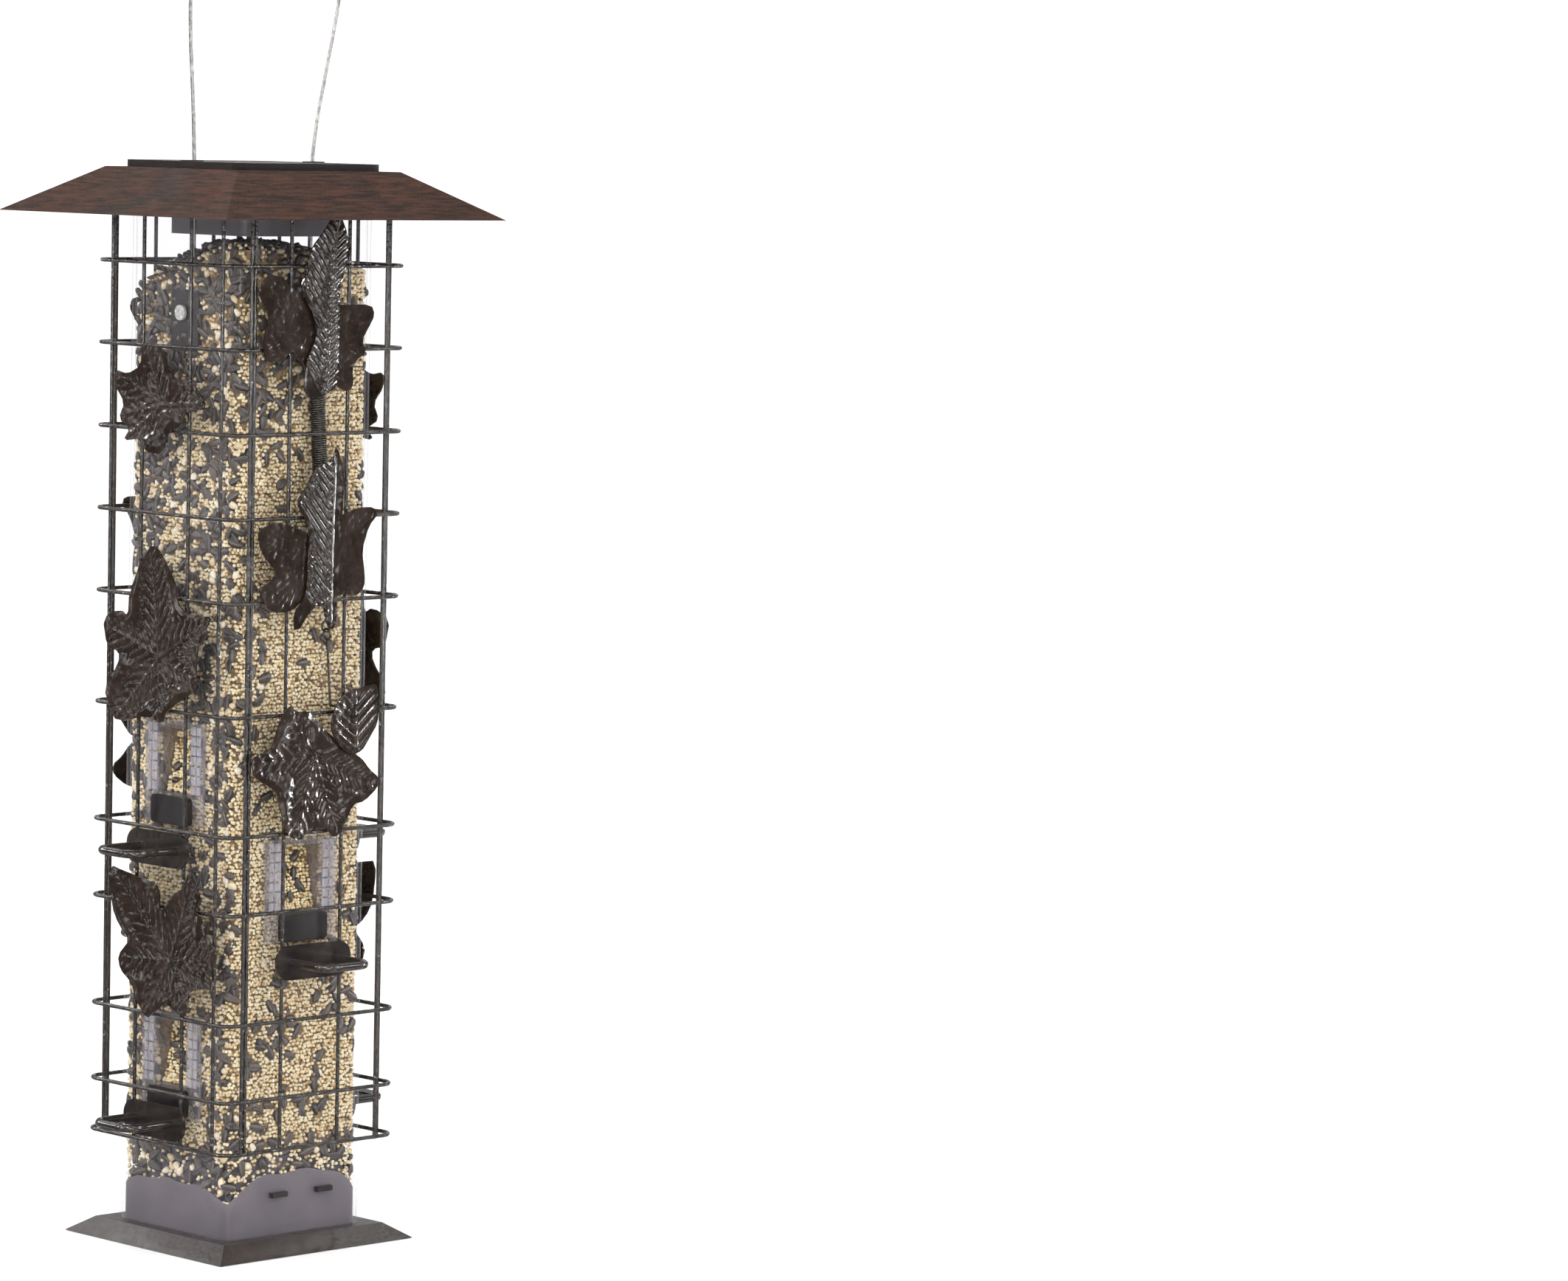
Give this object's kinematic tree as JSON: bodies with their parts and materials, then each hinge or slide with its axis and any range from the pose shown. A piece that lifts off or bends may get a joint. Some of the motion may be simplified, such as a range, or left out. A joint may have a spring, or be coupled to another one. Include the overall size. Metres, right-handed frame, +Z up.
{
  "type": "squirrel-resistant hanging bird feeder",
  "caption": "Clear square seed tube in a sprung wire cage with leaf plates, perches and feeding ports, under a lift-up hipped roof on a cable loop.",
  "frame": {"origin": "middle of the base's underside, at the level that it stands on", "axes": "+Z up the tube to the cable loop; -Y out of the front face, which has one port; -X out of the left face, which has two ports; the cable loop lies in the XZ plane"},
  "size_m": [0.203, 0.203, 0.773],
  "materials": {
    "base_paint": "powder-coated dark brown, semi-gloss, fine hammered texture",
    "grey_plastic": "mauve-grey moulded plastic",
    "latch_plastic": "near-black moulded plastic",
    "screw_steel": "zinc plated",
    "clear_plastic": "clear, glossy, slightly lavender at the edges",
    "port_plastic": "milky lavender flexible plastic",
    "sill_paint": "dark satin paint",
    "seed": "loose millet and striped sunflower seed",
    "bracket_steel": "dark satin paint",
    "rivet_steel": "polished",
    "ferrule_metal": "crimped, satin",
    "cable_steel": "stranded steel, satin",
    "cage_paint": "powder-coated dark brown, glossy, hammered texture",
    "spring_steel": "dark oiled spring steel",
    "roof_paint": "powder-coated red-brown, fine stippled texture",
    "cap_paint": "powder-coated dark brown",
    "grommet_rubber": "black rubber"
  },
  "bodies": {
    "feeder": {"base_cup": "grey_plastic", "base_latches": "latch_plastic", "base_plate": "base_paint", "base_screws": "screw_steel", "base_tray": "base_paint", "bracket_rivets": "rivet_steel", "cable_ferrules": "ferrule_metal", "cage_spring_back": "spring_steel", "cage_spring_front": "spring_steel", "hanger_bracket_left": "bracket_steel", "hanger_bracket_right": "bracket_steel", "hanging_cable": "cable_steel", "port_insert_back": "port_plastic", "port_insert_front": "port_plastic", "port_insert_left_lower": "port_plastic", "port_insert_left_upper": "port_plastic", "port_insert_right_lower": "port_plastic", "port_insert_right_upper": "port_plastic", "port_sill_back": "sill_paint", "port_sill_front": "sill_paint", "port_sill_left_lower": "sill_paint", "port_sill_left_upper": "sill_paint", "port_sill_right_lower": "sill_paint", "port_sill_right_upper": "sill_paint", "seed_fill": "seed", "seed_tube": "clear_plastic", "spring_anchors": "bracket_steel"},
    "cage": {"broad_leaf_left": "cage_paint", "broad_leaf_right": "cage_paint", "butterfly_lower_back": "cage_paint", "butterfly_lower_front": "cage_paint", "butterfly_upper_back": "cage_paint", "butterfly_upper_front": "cage_paint", "cage_rings": "cage_paint", "cage_wires_back": "cage_paint", "cage_wires_front": "cage_paint", "cage_wires_left": "cage_paint", "cage_wires_right": "cage_paint", "feather_leaf_lower_back": "cage_paint", "feather_leaf_lower_front": "cage_paint", "feather_leaf_upper_front": "cage_paint", "maple_leaf_left": "cage_paint", "maple_leaf_right": "cage_paint", "oval_leaves": "cage_paint", "perch_back": "cage_paint", "perch_front": "cage_paint", "perch_left_lower": "cage_paint", "perch_left_upper": "cage_paint", "perch_right_lower": "cage_paint", "perch_right_upper": "cage_paint", "small_leaf_left": "cage_paint", "small_leaf_right": "cage_paint", "spring_links": "spring_steel", "vine_leaf_back": "cage_paint", "vine_leaf_front": "cage_paint"},
    "roof": {"roof_shell": "roof_paint", "roof_cap": "cap_paint", "roof_collar": "grey_plastic", "cable_grommets": "grommet_rubber"}
  },
  "joints": [
    {"name": "cage_slide", "type": "slide", "parent": "feeder", "child": "cage", "axis": [0, 0, 1], "range_m": [-0.044, 0], "stiffness_N_per_m": 60, "springref_m": 0.2, "deforming": ["cage_spring_front", "cage_spring_back"]},
    {"name": "roof_lift", "type": "slide", "parent": "feeder", "child": "roof", "axis": [0, 0, 1], "range_m": [0, 0.025]}
  ]
}
